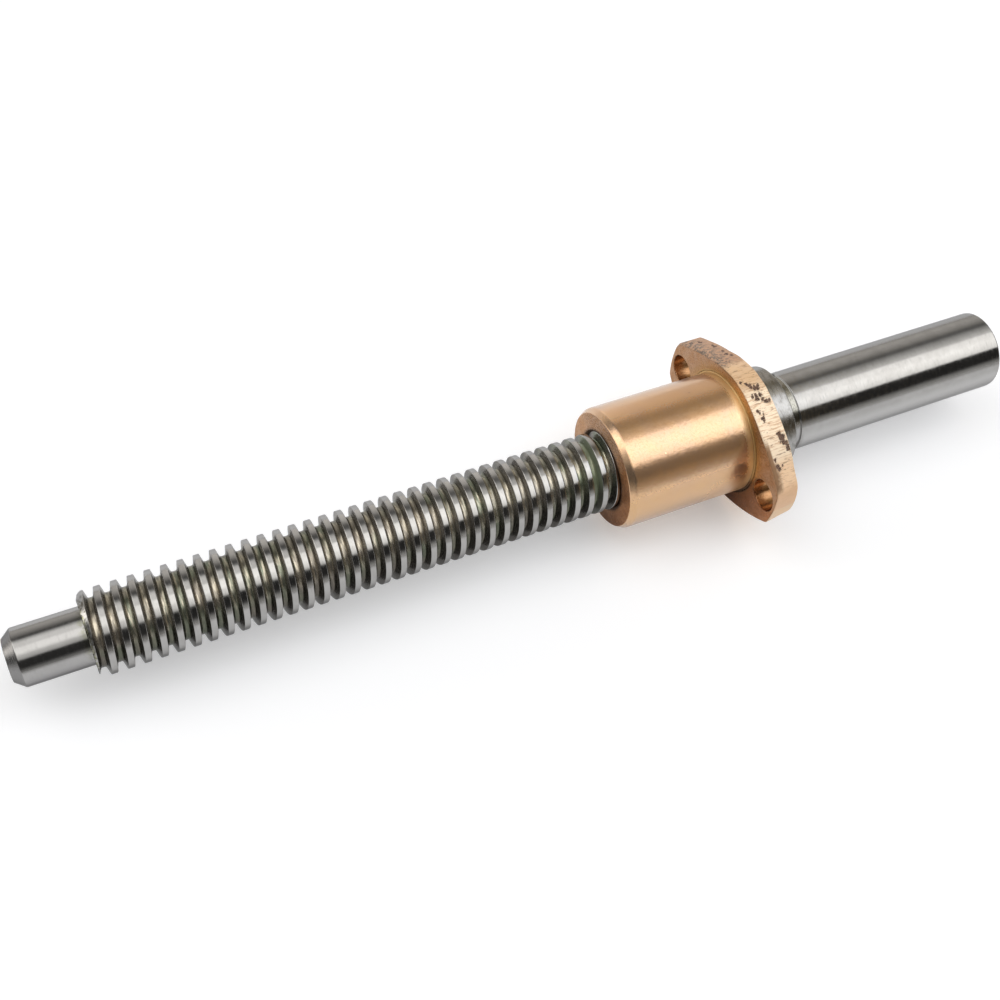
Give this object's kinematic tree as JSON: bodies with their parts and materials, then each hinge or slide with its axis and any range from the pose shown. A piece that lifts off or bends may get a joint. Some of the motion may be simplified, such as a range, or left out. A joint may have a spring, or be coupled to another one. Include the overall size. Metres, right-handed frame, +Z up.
{
  "type": "lead screw with flanged nut",
  "caption": "Left-hand trapezoidal lead screw with a chamfered journal, a collar and a plain shank, carrying a bronze nut whose bowed flange has bolt holes.",
  "frame": {"origin": "bottom centre of the bounding box: the middle of the screw's length, on the plane under the flange's flat", "axes": "+X along the screw from the journal to the plain shank, +Y along the flange's two holes, +Z up"},
  "size_m": [0.208, 0.0424, 0.0297],
  "materials": {
    "steel": "turned, oiled",
    "bronze": "turned, satin"
  },
  "bodies": {
    "screw": {"lead_screw": "steel"},
    "nut": {"flanged_nut": "bronze"}
  },
  "joints": [
    {"name": "nut_travel", "type": "slide", "parent": "screw", "child": "nut", "axis": [1, 0, 0], "range_m": [-0.108, 0]}
  ]
}
